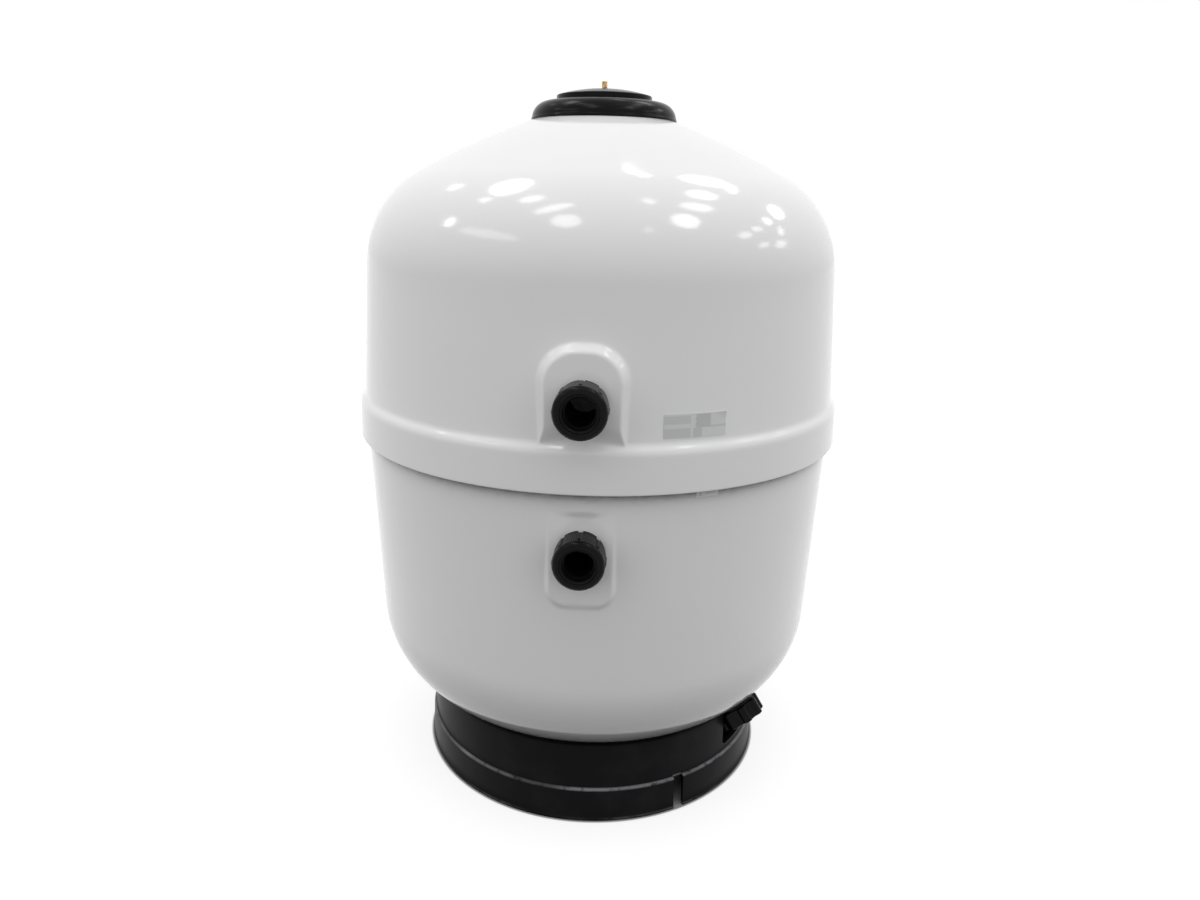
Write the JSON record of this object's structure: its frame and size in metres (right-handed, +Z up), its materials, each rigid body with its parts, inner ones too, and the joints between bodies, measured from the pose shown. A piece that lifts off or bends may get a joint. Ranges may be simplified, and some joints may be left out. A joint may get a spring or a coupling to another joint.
{
  "type": "sand filter",
  "caption": "White laminated sand filter vessel with a belt, on a black ring stand, with a screw collar and lid, front unions one above the other and a low drain cap.",
  "frame": {"origin": "on the floor at the axis of the vessel, in the plane of the stand's foot", "axes": "+Z up along the vessel's axis, -Y towards the two ports, +X to the right seen from the ports"},
  "size_m": [0.9139, 0.96, 1.303],
  "materials": {
    "gelcoat": "glossy white gelcoat over glass laminate",
    "adhesive": "cured adhesive",
    "base_black": "fine-grained black moulding",
    "gloss_black": "polished black moulding",
    "fitting_black": "satin black moulding",
    "pipe_white": "satin white pipe and moulding",
    "seal_rubber": "soft black rubber",
    "brass": "turned brass"
  },
  "bodies": {
    "tank": {"upper_shell": "gelcoat", "lower_shell": "gelcoat", "bond_seam": "adhesive", "base_ring": "base_black", "neck_ring": "fitting_black", "upper_bulkhead": "fitting_black", "lower_bulkhead": "fitting_black", "upper_lock_nut": "fitting_black", "lower_lock_nut": "fitting_black", "drain_body": "fitting_black", "drain_lock_nut": "fitting_black", "drain_strainer": "fitting_black", "inlet_elbow": "pipe_white", "inlet_riser": "pipe_white", "inlet_diffuser": "pipe_white", "outlet_pipe": "pipe_white", "outlet_elbow": "pipe_white", "outlet_riser": "pipe_white", "collector_hub": "pipe_white", "lateral_1": "pipe_white", "lateral_2": "pipe_white", "lateral_3": "pipe_white", "lateral_4": "pipe_white", "lateral_5": "pipe_white", "lateral_6": "pipe_white", "lateral_7": "pipe_white", "lateral_8": "pipe_white", "lid_seal": "seal_rubber", "upper_gasket": "seal_rubber", "lower_gasket": "seal_rubber", "drain_gasket": "seal_rubber"},
    "lid": {"lid": "gloss_black", "bleed_bush": "brass"},
    "lid_nut": {"lid_nut": "gloss_black"},
    "bleed_screw": {"bleed_screw": "brass", "bleed_seal": "seal_rubber"},
    "upper_union": {"upper_union_end": "fitting_black", "upper_union_seal": "seal_rubber"},
    "upper_union_nut": {"upper_union_nut": "gloss_black"},
    "lower_union": {"lower_union_end": "fitting_black", "lower_union_seal": "seal_rubber"},
    "lower_union_nut": {"lower_union_nut": "gloss_black"},
    "drain_plug": {"drain_cap_seal": "seal_rubber"},
    "drain_cap": {"drain_cap": "gloss_black"}
  },
  "joints": [
    {"name": "lid_lift", "type": "slide", "parent": "tank", "child": "lid", "axis": [0, 0, 1], "range_m": [0, 0.12]},
    {"name": "lid_nut_turn", "type": "hinge", "parent": "lid", "child": "lid_nut", "pos_m": [0, 0, 1.25], "axis": [0, 0, 1], "range_deg": [0, 900]},
    {"name": "bleed_turn", "type": "hinge", "parent": "lid", "child": "bleed_screw", "pos_m": [0, 0, 1.28], "axis": [0, 0, 1], "range_deg": [0, 720]},
    {"name": "upper_union_pull", "type": "slide", "parent": "tank", "child": "upper_union", "axis": [0, -1, 0], "range_m": [0, 0.06]},
    {"name": "upper_union_nut_turn", "type": "hinge", "parent": "upper_union", "child": "upper_union_nut", "pos_m": [0, -0.481, 0.812], "axis": [0, -1, 0], "range_deg": [0, 1080]},
    {"name": "lower_union_pull", "type": "slide", "parent": "tank", "child": "lower_union", "axis": [0, -1, 0], "range_m": [0, 0.06]},
    {"name": "lower_union_nut_turn", "type": "hinge", "parent": "lower_union", "child": "lower_union_nut", "pos_m": [0, -0.47, 0.574], "axis": [0, -1, 0], "range_deg": [0, 1080]},
    {"name": "drain_plug_pull", "type": "slide", "parent": "tank", "child": "drain_plug", "axis": [0.5332, -0.3078, -0.788], "range_m": [0, 0.06]},
    {"name": "drain_cap_turn", "type": "hinge", "parent": "drain_plug", "child": "drain_cap", "pos_m": [0.28672, -0.16554, 0.1555], "axis": [0.5332, -0.3078, -0.788], "range_deg": [0, 1080]}
  ]
}
